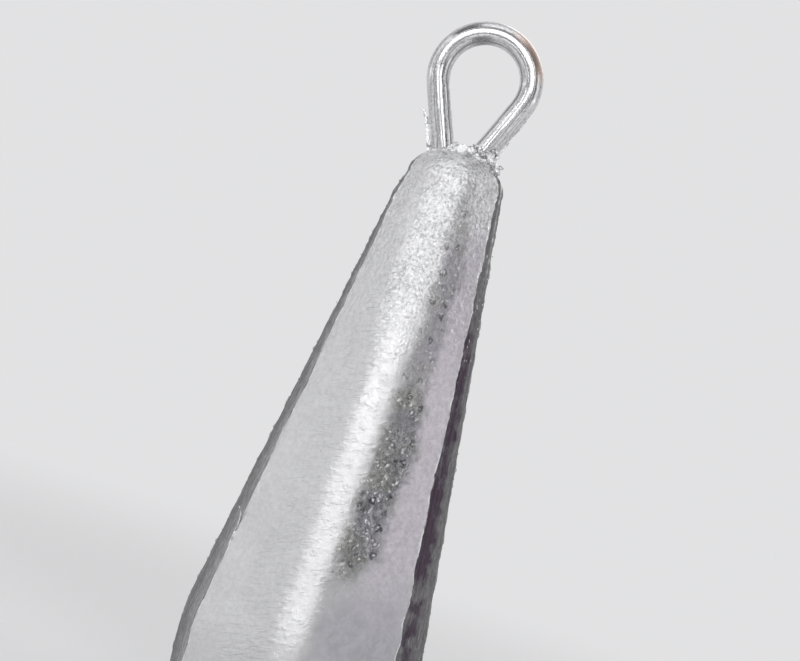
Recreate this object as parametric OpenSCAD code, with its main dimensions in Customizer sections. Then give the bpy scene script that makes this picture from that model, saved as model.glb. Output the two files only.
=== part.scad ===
// Long cast fishing sinker with a bent wire eye, standing upright on its flat base.
// Millimetres. The origin is the middle of the base, and +Z runs up the sinker's axis.
// The mould parts on the XZ plane: the eye lies in that plane, a seam runs down the
// sides at +X and -X, and the two rounded ridges run down the front and the back.

/* [Cast body] */
// Height of the lead from the flat base to the top of the crown
body_h = 53.1; // [45:0.1:70]
// Height of the widest station above the base
foot_h = 10; // [6:0.5:16]
// Width from seam to seam at the widest station
body_w = 20.8; // [16:0.1:24]
// Depth from ridge to ridge at the widest station
body_d = 19.7; // [15:0.1:23]
// Depth of the side flats at the widest station, from shoulder to shoulder
flat_d = 9.8; // [7:0.1:12]
// Depth of the side flats where the rounding of the crown starts
crown_flat_d = 2.1; // [1.5:0.1:4]
// Slope of each side flat from its shoulder out to the seam, so that it leaves the mould
side_draft = 21; // [8:1:30]
// Width from seam to seam at the base
foot_w = 19.5; // [15:0.1:22]
// Width from seam to seam where the sides would meet the top of the crown
crown_w = 7.9; // [7.2:0.1:11]

/* [Rounding] */
// Radius of the two long ridges, down the front and the back
ridge_r = 2.4; // [1:0.1:3.5]
// Radius of the shoulders beside the side flats, and of the seams
shoulder_r = 1.2; // [0.8:0.1:2.5]
// Radius of the crown's edge
crown_r = 2; // [1:0.1:2.8]
// Radius of the base's edge
foot_r = 1.5; // [0.8:0.1:3]

/* [Mould flash] */
// Thickness of the flash line that the mould leaves down each seam
flash_t = 0.3; // [0.1:0.05:0.6]
// How far the flash line stands proud of the seam
flash_proud = 0.15; // [0.05:0.05:0.4]
// Height of the thin web of flash between the legs of the eye
web_h = 0.5; // [0.2:0.1:1]
// Width of that web where it leaves the crown
web_w = 3; // [2:0.1:4]

/* [Wire eye] */
// Diameter of the wire
wire_d = 2; // [1.4:0.1:2.4]
// Height of the eye's top above the crown
eye_h = 11.35; // [9.5:0.05:14]
// Radius of the eye, to the middle of the wire
eye_r = 3.9; // [3.2:0.1:4.4]
// Sideways offset of the eye from the sinker's axis, as it was bent
eye_shift = -0.25; // [-0.5:0.05:0.5]
// How much thinner the wire is round its bends, where it stretched
bend_thin = 0.06; // [0.03:0.01:0.12]

/* [Wire tails in the lead] */
// Radius of the bend that turns each leg straight down inside the crown
throat_r = 3; // [2:0.1:4]
// Depth below the crown at which the two legs lie side by side
throat_depth = 1.8; // [1:0.1:4]
// Gap between the two legs where they lie side by side
tail_gap = 0.2; // [0.1:0.05:0.6]
// Length of the straight tails
tail_l = 13; // [8:0.5:20]
// Radius of the bend that splays each tail's end
anchor_r = 2.5; // [1.5:0.1:3]
// Angle that each end is splayed by
anchor_angle = 50; // [20:5:70]
// Length of each splayed end
anchor_l = 2; // [1:0.1:2.5]
// Gap between the wire and the lead that shrank round it
cast_gap = 0.02; // [0:0.01:0.05]

/* [Hidden] */

// Sides of a round wire and of a rounded corner
wire_fn = 64;
corner_fn = 32;

// Trimmed off under the casting, so that the base is one flat face
base_trim = foot_r / 4;
// How far each bend of the wire reaches into the straight wire at its ends
bend_lap = wire_d / 20;

// Middle of the eye, above the base
eye_z = body_h + eye_h - wire_d / 2 - eye_r;
// Where the legs lie side by side: each leg's distance from the eye's middle line, and its height
tail_x = (wire_d + tail_gap) / 2;
throat_z = body_h - throat_depth;
// Each leg is the straight line that touches the eye's circle and its throat bend's circle,
// which lie on opposite sides of it. Across and down between the circles' middles, and their distance
throat_across = tail_x + throat_r;
throat_down = eye_z - throat_z;
throat_far = norm([throat_across, throat_down]);
// The leg's lean off upright, and its straight length
leg_angle = asin((eye_r + throat_r) / throat_far) - atan2(throat_across, throat_down);
leg_l = sqrt(throat_far ^ 2 - (eye_r + throat_r) ^ 2);
// Height at which the splayed ends start
anchor_z = throat_z - tail_l;

lead_colour = [0.72, 0.72, 0.74];
wire_colour = [0.82, 0.82, 0.84];

// Half of the outline of a section w wide from seam to seam with side flats flat deep, from the
// front ridge round +X to the back ridge. From ridge to ridge it keeps the widest one's proportion.
function half_section(w, flat) =
    let (
        seam_x = w / 2,
        ridge_y = w / body_w * body_d / 2,
        shoulder_y = flat / 2,
        shoulder_x = seam_x - shoulder_y * tan(side_draft)
    )
    [[0, -ridge_y], [shoulder_x, -shoulder_y], [seam_x, 0], [shoulder_x, shoulder_y], [0, ridge_y]];

// A ring of balls in the corners of a section, with their middles at height z. Those on the two
// ridges have the radius on_ridge, and the others the radius r.
module station(w, flat, on_ridge, r, z) {
    for (side = [0, 1])
        mirror([side, 0, 0])
            for (corner = half_section(w, flat)) {
                ball_r = corner[0] == 0 ? on_ridge : r;
                translate([0, 0, z])
                    translate(corner * (1 - ball_r / norm(corner)))
                        sphere(ball_r, $fn = corner_fn);
            }
}

// Seam-to-seam width of the tapering upper part at height z
function taper_w(z) = crown_w + (body_w - crown_w) * (body_h - z) / (body_h - foot_h);

// The solid lead: a taper up to the rounded crown and a short foot that draws in to the flat base
module casting() {
    crown_z = body_h - crown_r;
    difference() {
        hull() {
            station(foot_w, flat_d * foot_w / body_w, foot_r, foot_r, foot_r - base_trim);
            station(body_w, flat_d, ridge_r, shoulder_r, foot_h);
            station(taper_w(crown_z), crown_flat_d, crown_r, crown_r, crown_z);
        }
        translate([-body_w, -body_w, -body_h])
            cube([2 * body_w, 2 * body_w, body_h]);
    }
}

// A flat sheet of flash in the parting plane, with its outline in X and Z
module flash_sheet(outline) {
    rotate([90, 0, 0])
        linear_extrude(height = flash_t, center = true)
            polygon(outline);
}

// The flash line down both seams, which dies out at the base and on the crown
module seam_flash() {
    crown_z = body_h - crown_r;
    crown_x = taper_w(crown_z) / 2;
    right_side = [
        [foot_w / 2 - foot_r, 0],
        [foot_w / 2 + flash_proud, foot_r],
        [body_w / 2 + flash_proud, foot_h],
        [crown_x + flash_proud, crown_z],
        [crown_x - crown_r, body_h - flash_proud]
    ];
    for (side = [0, 1])
        mirror([side, 0, 0])
            flash_sheet(concat([[0, 0]], right_side, [[0, body_h - flash_proud]]));
}

// The web of flash that ran up between the legs of the eye
module leg_web() {
    foot_z = body_h - web_h;
    top_z = body_h + web_h;
    translate([eye_shift, 0, 0])
        flash_sheet([
            [-web_w / 2, foot_z],
            [web_w / 2, foot_z],
            [web_w / 4, top_z],
            [-web_w / 4, top_z]
        ]);
}

// A bend of the wire in the XZ plane round the point (x, z), from the angle from, through sweep,
// both measured from +X towards +Z. It is a little thinner than the straight wire, and laps into it.
module bend(x, z, r, from, sweep, d) {
    lap = bend_lap / r * 180 / PI;
    translate([x, 0, z])
        rotate([90, 0, 0])
            rotate_extrude(angle = sweep + 2 * lap, start = from - lap, $fn = 2 * wire_fn)
                translate([r, 0])
                    circle(d = d - bend_thin, $fn = wire_fn);
}

// A straight run of the wire down from the point (x, z), leaning towards -X by the angle lean
module run(x, z, lean, length, d) {
    translate([x, 0, z])
        rotate([0, 180 + lean, 0])
            cylinder(h = length, d = d, $fn = wire_fn);
}

// The leg on the +X side: down from the eye, through the throat, and out into its splayed end
module leg(d) {
    end_x = tail_x + anchor_r;
    run(eye_r * cos(leg_angle), eye_z - eye_r * sin(leg_angle), leg_angle, leg_l, d);
    bend(throat_across, throat_z, throat_r, 180 - leg_angle, leg_angle, d);
    run(tail_x, throat_z, 0, tail_l, d);
    bend(end_x, anchor_z, anchor_r, 180, anchor_angle, d);
    run(
        end_x - anchor_r * cos(anchor_angle),
        anchor_z - anchor_r * sin(anchor_angle),
        -anchor_angle,
        anchor_l,
        d
    );
}

// The whole bent wire at a diameter d, used for the wire and for the channel it leaves in the lead
module wire(d) {
    translate([eye_shift, 0, 0]) {
        bend(0, eye_z, eye_r, -leg_angle, 180 + 2 * leg_angle, d);
        leg(d);
        mirror([1, 0, 0])
            leg(d);
    }
}

module lead_body() {
    color(lead_colour)
        difference() {
            union() {
                casting();
                seam_flash();
                leg_web();
            }
            wire(wire_d + 2 * cast_gap);
        }
}

module wire_eye() {
    color(wire_colour)
        wire(wire_d);
}

lead_body();
wire_eye();
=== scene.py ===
"""Cast fishing sinker with a bent wire eye: the looks, built round the packed model of its two pieces.

Everything is in metres in the model's own frame: +Z up the sinker, the eye and the mould's parting
line in the XZ plane, the ridges at -Y (front) and +Y (back). Reliefs are worked out in millimetres.
"""

import math

import bmesh
import bpy
from bpy.props import FloatProperty, FloatVectorProperty, PointerProperty
from mathutils import Matrix, Vector, noise


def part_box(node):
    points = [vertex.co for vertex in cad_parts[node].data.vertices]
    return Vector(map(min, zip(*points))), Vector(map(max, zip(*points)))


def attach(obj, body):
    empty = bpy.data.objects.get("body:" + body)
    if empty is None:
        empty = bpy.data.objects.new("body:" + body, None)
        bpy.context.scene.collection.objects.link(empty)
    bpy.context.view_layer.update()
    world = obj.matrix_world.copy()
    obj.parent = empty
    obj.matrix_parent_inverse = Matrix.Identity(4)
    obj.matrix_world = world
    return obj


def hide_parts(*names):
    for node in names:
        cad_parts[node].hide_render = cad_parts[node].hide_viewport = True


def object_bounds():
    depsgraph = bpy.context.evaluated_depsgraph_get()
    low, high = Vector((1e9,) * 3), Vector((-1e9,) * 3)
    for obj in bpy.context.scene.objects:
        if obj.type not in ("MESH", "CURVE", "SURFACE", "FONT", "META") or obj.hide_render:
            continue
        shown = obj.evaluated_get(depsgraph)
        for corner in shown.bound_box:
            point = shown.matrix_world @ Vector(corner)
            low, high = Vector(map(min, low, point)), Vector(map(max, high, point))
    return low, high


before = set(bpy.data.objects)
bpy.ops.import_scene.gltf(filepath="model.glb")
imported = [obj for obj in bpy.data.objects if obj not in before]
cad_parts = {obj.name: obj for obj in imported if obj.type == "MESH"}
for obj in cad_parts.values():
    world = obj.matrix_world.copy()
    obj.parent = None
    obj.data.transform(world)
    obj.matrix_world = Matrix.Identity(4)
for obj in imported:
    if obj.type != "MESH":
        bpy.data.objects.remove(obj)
cad_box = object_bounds()
lead_low, lead_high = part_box("lead_body")
_, wire_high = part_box("wire_eye")

bl_info = {
    "name": "Cast Fishing Sinker",
    "version": (1, 0, 0),
    "blender": (4, 5, 0),
    "location": "3D View > Sidebar > Sinker",
    "description": "Models a cast lead sinker with a wire eye, its finishes and its studio",
    "category": "Object",
}

MM = 0.001
BODY = "root"


# Properties

def length(name, description, millimetres):
    """A length, given in millimetres and kept in metres."""
    return FloatProperty(
        name=name, description=description, default=millimetres * MM,
        subtype="DISTANCE", unit="LENGTH", precision=5,
    )


def angle(name, description, degrees):
    """An angle, given in degrees and kept in radians."""
    return FloatProperty(
        name=name, description=description, default=math.radians(degrees),
        subtype="ANGLE", unit="ROTATION",
    )


def share(name, description, default):
    """A share of something else."""
    return FloatProperty(name=name, description=description, default=default, min=0.0, max=4.0)


def colour(name, description, default):
    """A colour, as linear red, green and blue."""
    return FloatVectorProperty(
        name=name, description=description, default=default,
        subtype="COLOR", size=3, min=0.0, max=1.0,
    )


class SinkerCasting(bpy.types.PropertyGroup):
    """The form of the lead, as it left the mould"""

    crown: length("Crown height", "Height of the crown's top above the base", 53.1)
    widest: length("Widest height", "Height of the widest station above the base", 10.0)
    width: length("Width", "Width from seam to seam at the widest station", 20.8)
    depth: length("Depth", "Depth from ridge to ridge at the widest station", 19.64)
    flat: length("Side flat", "Depth of the side flats at the widest station", 9.8)
    crown_flat: length("Crown flat", "Depth of the side flats where the crown's dome starts", 2.1)
    draft: angle("Side draft", "Slope of each side flat out to its seam", 21.0)
    foot_width: length("Foot width", "Width from seam to seam at the base", 19.4)
    crown_width: length("Crown width", "Width where the sides would meet the crown's top", 7.8)
    dome: length("Dome", "Height of the crown's dome", 2.7)
    dome_left: share("Left dome", "How square the dome is towards -X: less is squarer", 0.92)
    dome_right: share("Right dome", "How square the dome is towards +X: less is squarer", 0.95)
    draw_in: share("Left draw-in", "How far the -X side draws in below the dome", 0.055)
    draw_in_height: length("Draw-in height", "Height over which the -X side draws in below the dome", 2.0)
    ridge_round: length("Ridge rounding", "Radius of the long ridges at the widest station", 4.0)
    crown_ridge: length("Crown ridge rounding", "Radius of the long ridges below the crown", 3.6)
    shoulder_round: length("Shoulder rounding", "Radius of the shoulders and the seams", 0.65)
    foot_round: length("Foot rounding", "Radius of the base's edge", 1.4)
    waist: length("Waist", "Length of the soft bend at the widest station", 3.6)


class SinkerSkin(bpy.types.PropertyGroup):
    """The relief of the cast skin"""

    waves: length("Waves", "Height of the slow waves in the faces", 0.09)
    grain: length("Grain", "Height of the grain near the crown", 0.11)
    fine_grain: length("Fine grain", "Height of the grain near the foot", 0.008)
    folds: length("Folds", "Depth of the folds in the crown", 0.05)
    creases: length("Creases", "Depth of the short creases across the faces", 0.02)
    pits: length("Pits", "Depth of the gas pits", 0.10)
    beads: length("Beads", "Height of the small beads in the pitted skin", 0.09)
    scrape: length("Scrape", "Depth to which the side flats were scraped", 0.08)
    grooves: length("Grooves", "Depth of the scraper's grooves down the side flats", 0.035)
    lip: length("Lip", "Height of the burr along the edge of the scraped flats", 0.12)
    flash: length("Flash", "Height of the flash line that is left down each seam", 0.16)
    crawl: length("Crawl", "How far the lead crept up the wire", 0.45)


class SinkerWire(bpy.types.PropertyGroup):
    """The bent wire"""

    diameter: length("Diameter", "Diameter of the wire", 2.0)
    eye_radius: length("Eye radius", "Radius of the eye, to the middle of the wire", 3.9)
    shift: length("Shift", "Offset of the eye from the sinker's axis", -0.25)
    throat_radius: length("Throat radius", "Radius of the bend inside the crown", 3.0)
    throat_depth: length("Throat depth", "Depth at which the legs lie side by side", 1.8)
    tail_gap: length("Tail gap", "Gap between the legs where they lie side by side", 0.2)
    tail: length("Tail", "Length of the straight tails", 13.0)
    anchor_radius: length("Anchor radius", "Radius of the bend that splays each end", 2.5)
    anchor_angle: angle("Anchor angle", "Angle that each end is splayed by", 50.0)
    anchor: length("Anchor", "Length of each splayed end", 2.0)


class SinkerColours(bpy.types.PropertyGroup):
    """The colours of the lead and the wire"""

    lead: colour("Lead", "Clean cast lead", (0.65, 0.65, 0.66))
    # Oxide and painted shade: the mottled violet-grey and olive-grey of the pitted band, painted dark as
    # shade
    violet_oxide_shade: colour("Violet-grey oxide", "The violet part of the mottled band", (0.255, 0.25, 0.27))
    olive_oxide_shade: colour("Olive-grey oxide", "The olive part of the mottled band", (0.26, 0.26, 0.25))
    # Painted reflection: a lilac tint painted on the shaded faces in place of a pinkish reflection
    lilac_reflection: colour("Lilac", "Faint lilac bloom on the oxide", (0.61, 0.56, 0.62))
    # Painted shade: a bluish grey painted low on the shaded faces
    haze_shade: colour("Haze", "Even haze near the foot of the stained faces", (0.47, 0.465, 0.50))
    # Painted shade: a near-black plum painted on the shaded side flats where they lie in shade
    plum_shade: colour("Plum", "Dark plum bloom beside the scraped flats", (0.050, 0.024, 0.052))
    # Painted shade: the scraped flats are tarnished and painted darker still as shade, darkest at the seam
    scraped: colour("Scraped lead", "The scraped flats at their border", (0.36, 0.36, 0.37))
    tarnish_and_shade: colour("Tarnished lead", "The scraped flats at their seam", (0.20, 0.195, 0.20))
    # Painted highlight: the near-white colour of the beads, glint specks, lip, flash and edge lines that
    # stand for highlights
    bright: colour("Bright lead", "Bright specks where the skin broke", (0.93, 0.93, 0.93))
    steel: colour("Steel", "Bright drawn steel wire", (0.66, 0.66, 0.67))
    warm: colour("Warm steel", "Warm tint of the eye's outer bend", (0.66, 0.50, 0.43))


class SinkerStudio(bpy.types.PropertyGroup):
    """The floor, the lamps and the camera"""

    backdrop: colour("Backdrop", "Floor and background", (0.76, 0.76, 0.77))
    room: colour("Room", "The dimmer room that the metal mirrors in front", (0.20, 0.20, 0.205))
    ambient: colour("Ambient", "Soft light from all round", (0.42, 0.42, 0.42))
    lens: FloatProperty(name="Lens", description="Focal length in millimetres", default=120.0)
    azimuth: angle("Azimuth", "How far the camera stands round towards +X", 6.0)
    roll: angle("Roll", "How far the sinker leans to the right in the picture", 18.37)
    aim_up: length("Aim height", "Height of the picture's middle above the base", 37.47)
    aim_side: length("Aim side", "Distance of the picture's middle from the axis", -0.38)
    field: length("Field", "Width of the picture at the sinker's axis", 66.67)


# Small helpers for numbers and meshes

def smooth(low, high, value):
    """A soft step from 0 at low to 1 at high."""
    t = min(1.0, max(0.0, (value - low) / (high - low)))
    return t * t * (3.0 - 2.0 * t)


def band(value, start, full, fade, end):
    """1 between full and fade, and 0 outside start and end, with soft steps between."""
    return smooth(start, full, value) * smooth(end, fade, value)


def bell(off, width):
    """1 in the middle, falling off softly over a width on either side."""
    return math.exp(-((off / width) ** 2))


def mix(first, second, part):
    """The value at a part, 0 to 1, of the way from the first to the second."""
    return first + (second - first) * part


def along_table(table, place):
    """The row of values at a place, in a table of rows (place, value, ...) with falling places."""
    if place >= table[0][0]:
        return table[0][1:]
    for upper, lower in zip(table, table[1:]):
        if place >= lower[0]:
            t = (upper[0] - place) / (upper[0] - lower[0])
            return tuple(mix(a, b, t) for a, b in zip(upper[1:], lower[1:]))
    return table[-1][1:]


def make_piece(name, bm, material, replaced=()):
    """Turns a bmesh into a smooth-shaded piece at the origin that rides on the sinker."""
    for face in bm.faces:
        face.smooth = True
    mesh = bpy.data.meshes.new(name)
    bm.to_mesh(mesh)
    bm.free()
    mesh.materials.append(material)
    piece = bpy.data.objects.new(name, mesh)
    bpy.context.scene.collection.objects.link(piece)
    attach(piece, BODY)
    if replaced:
        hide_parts(*replaced)


def ring_edges(ring):
    """The edges between neighbours in a closed ring of vertices."""
    following = ring[1:] + ring[:1]
    return [next(e for e in v.link_edges if e.other_vert(v) is w) for v, w in zip(ring, following)]


def extrude_ring(bm, ring):
    """Extrudes a closed ring of vertices and returns the new ring in the same order."""
    made = bmesh.ops.extrude_edge_only(bm, edges=ring_edges(ring))["geom"]
    fresh = {v for v in made if isinstance(v, bmesh.types.BMVert)}
    return [next(e.other_vert(v) for e in v.link_edges if e.other_vert(v) in fresh) for v in ring]


def close_ring(bm, ring, middle):
    """Closes a ring with a fan of triangles to a point."""
    tip = extrude_ring(bm, ring)
    bmesh.ops.pointmerge(bm, verts=tip, merge_co=middle)


# The casting's sections

# Steps round each kind of corner, across each of the four faces and across each half of a side flat
ARC_STEPS = {"ridge": 12, "shoulder": 10, "seam": 6}
FACE_STEPS = 44
SIDE_STEPS = 20
# Rings across the base, round its edge, up the foot, up the taper and over the dome
BASE_RINGS = 12
FOOT_ROUND_RINGS = 8
FOOT_RINGS = 30
SIDE_RINGS = 190
CROWN_RINGS = 38
# How much the taper's rings crowd together towards the crown
RING_EASE = 0.25
# Height of the middle of the foot's rounding, as a share of its radius: the rest is trimmed off
FOOT_TRIM = 0.75


class Station:
    """A section of the casting: its height, its width from seam to seam, the depth of its side flats,
    the radius of its ridges and of its other corners, how far it is drawn in inside its outline, and
    its scale towards -X and towards +X"""

    def __init__(self, c, height, width, flat, ridge, corner, inset=0.0, left=1.0, right=1.0):
        self.height, self.width, self.flat = height, width, flat
        self.ridge_radius, self.corner_radius, self.inset = ridge, corner, inset
        self.left, self.right = left, right
        self.ridge = Vector((0.0, c.depth / 2 * width / c.width))
        self.shoulder = Vector((width / 2 - flat / 2 * math.tan(c.draft), flat / 2))
        self.seam = Vector((width / 2, 0.0))

    def corners(self):
        """The corners from the front ridge round +X: the corner, its radius, the steps round it and the
        steps to the next one."""
        x, y = self.shoulder
        quarter = (
            (-self.ridge, self.ridge_radius, ARC_STEPS["ridge"], FACE_STEPS),
            (Vector((x, -y)), self.corner_radius, ARC_STEPS["shoulder"], SIDE_STEPS),
            (self.seam, self.corner_radius, ARC_STEPS["seam"], SIDE_STEPS),
            (self.shoulder, self.corner_radius, ARC_STEPS["shoulder"], FACE_STEPS),
        )
        return quarter + tuple((-corner, radius, arc, flat) for corner, radius, arc, flat in quarter)

    def outline(self):
        """Points round the section with every corner rounded and straight runs between the corners."""
        corners = self.corners()
        middles = [corner * (1.0 - radius / corner.length) for corner, radius, _, _ in corners]
        normals = []
        for i, here in enumerate(middles):
            run = middles[(i + 1) % len(middles)] - here
            lean = (corners[i][1] - corners[(i + 1) % len(corners)][1]) / run.length
            run.normalize()
            normals.append(Vector((run.y, -run.x)) * math.sqrt(1.0 - lean * lean) + run * lean)
        points = []
        for i, (_, radius, arc, flat) in enumerate(corners):
            before, after = normals[i - 1], normals[i]
            for turn in range(arc):
                outward = before.lerp(after, turn / arc).normalized()
                points.append(middles[i] + outward * (radius - self.inset))
            following = (i + 1) % len(corners)
            here = middles[i] + after * (radius - self.inset)
            there = middles[following] + after * (corners[following][1] - self.inset)
            points.extend(here.lerp(there, part / flat) for part in range(flat))
        return points


def body_station(c, height):
    """The section between the foot's rounding and the dome, with a soft bend at the widest station."""
    foot_slope = (c.width - c.foot_width) / c.widest
    taper = (c.crown_width - c.width) / (c.crown - c.widest)
    bent = min(max(height - c.widest + c.waist / 2, 0.0), c.waist)
    above = max(0.0, height - c.widest - c.waist / 2)
    past = bent ** 2 / (2 * c.waist) + above
    width = c.foot_width + foot_slope * height + (taper - foot_slope) * past
    if height < c.widest:
        part = height / c.widest
        ridge, corner = mix(c.foot_round, c.ridge_round, part), mix(c.foot_round, c.shoulder_round, part)
        return Station(c, height, width, c.flat * width / c.width, ridge, corner)
    part = (height - c.widest) / (c.crown - c.dome - c.widest)
    flat, ridge = mix(c.flat, c.crown_flat, part), mix(c.ridge_round, c.crown_ridge, part)
    drawn = 1.0 - c.draw_in * smooth(c.crown - c.dome - c.draw_in_height, c.crown - c.dome, height)
    return Station(c, height, width, flat, ridge, c.shoulder_round, left=drawn)


def stations(c):
    """The sections from the middle of the base to the middle of the crown."""
    middle = FOOT_TRIM * c.foot_round
    start = math.acos(middle / c.foot_round)
    foot = body_station(c, middle)

    def foot_station(height, turn, scale=1.0):
        inset = c.foot_round * (1.0 - math.sin(turn))
        radii = foot.ridge_radius, foot.corner_radius
        return Station(c, height, foot.width, foot.flat, *radii, inset, scale, scale)

    rows = [foot_station(0.0, start, i / BASE_RINGS) for i in range(1, BASE_RINGS)]
    for i in range(FOOT_ROUND_RINGS):
        turn = mix(start, math.pi / 2, i / FOOT_ROUND_RINGS)
        rows.append(foot_station(middle - c.foot_round * math.cos(turn), turn))
    rows += [body_station(c, mix(middle, c.widest, i / FOOT_RINGS)) for i in range(FOOT_RINGS)]
    edge = c.crown - c.dome
    for i in range(SIDE_RINGS):
        part = i / SIDE_RINGS
        part = (1.0 + RING_EASE) * part - RING_EASE * part * part
        rows.append(body_station(c, mix(c.widest, edge, part)))
    for i in range(CROWN_RINGS):
        turn = math.pi / 2 * i / CROWN_RINGS
        top = body_station(c, edge)
        top.height = edge + c.dome * math.sin(turn) ** c.dome_left
        top.left, top.right = top.left * math.cos(turn) ** c.dome_left, math.cos(turn) ** c.dome_right
        rows.append(top)
    return rows


# The cast skin. These take a point in millimetres and give millimetres, or a mask from 0 to 1.

def lumps(p, size, seed):
    """Smooth noise, about -1 to 1, in lumps of a size."""
    return noise.noise(Vector((p.x / size + seed, p.y / size - seed, p.z / size + 2.0 * seed)))


def layered(p, *layers):
    """Lumps in layers, each with its height, its size and its seed."""
    return sum(height * lumps(p, size, seed) for height, size, seed in layers)


def streaks(across, along, seed):
    """Smooth noise in two directions of the surface."""
    return noise.noise(Vector((across, along, seed)))


def spots(p, size, fill, reach, seed):
    """Round spots, 1 in their middles, in a share of the cells of a size."""
    distances, points = noise.voronoi(p / size + Vector((seed, -seed, seed)))
    chance = 0.5 + 0.5 * noise.cell(points[0] * 9.7)
    if chance > fill:
        return 0.0
    return smooth(reach * (0.6 + 0.4 * chance / fill), 0.0, distances[0])


def pebble(p, size, seed):
    """0 in the middles of round pebbles of a size, about 0.5 between them."""
    distances, _ = noise.voronoi(p / size + Vector((seed, seed, -seed)))
    return distances[0] * distances[0]


# The pitted band of oxide beside each ridge, painted darker as shade, on the front's right and the back's
# left face: height, inner and outer edge as shares of the half width, and strength
PITTING_AND_SHADE_BAND = (
    (52.0, 0.20, 0.55, 0.25),
    (49.0, 0.24, 0.55, 0.50),
    (44.0, 0.26, 0.62, 0.60),
    (38.0, 0.25, 0.58, 0.62),
    (34.5, 0.23, 0.52, 0.60),
    (32.0, 0.22, 0.56, 0.85),
    (29.0, 0.20, 0.57, 0.90),
    (26.0, 0.18, 0.54, 1.00),
    (23.0, 0.16, 0.50, 1.00),
    (19.5, 0.14, 0.46, 0.92),
    (17.0, 0.09, 0.36, 0.40),
    (15.0, 0.08, 0.36, 0.10),
    (9.0, 0.05, 0.40, 0.08),
    (0.0, 0.05, 0.50, 0.30),
)
# Strength of the painted plum shade down the shaded side flats: height and strength
PLUM_SHADE_BAND = ((50.0, 0.0), (42.0, 0.12), (37.0, 0.75), (34.0, 1.0), (21.0, 1.0), (18.0, 0.5), (0.0, 0.35))
# How far the painted shade and oxide lie higher on the back than on the front
BACK_DRIFT = 5.0
# Millimetres across the border of the scraped flats that fit in the mark from 0 to 1
BORDER_RANGE = 6.0
# The marks that the finish reads, by the layer that stores them. A fourth one is in the layer's alpha.
MARKS = {
    "marks": ("pitting_and_shade", "hollow_shade", "coarse"),
    "reflection_shade_and_wrinkles": ("lilac_reflection", "plum_shade", "bead", "wrinkled"),
    "shade_highlight_and_border": ("seam_shade", "haze_shade", "edge", "border"),
}


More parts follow.
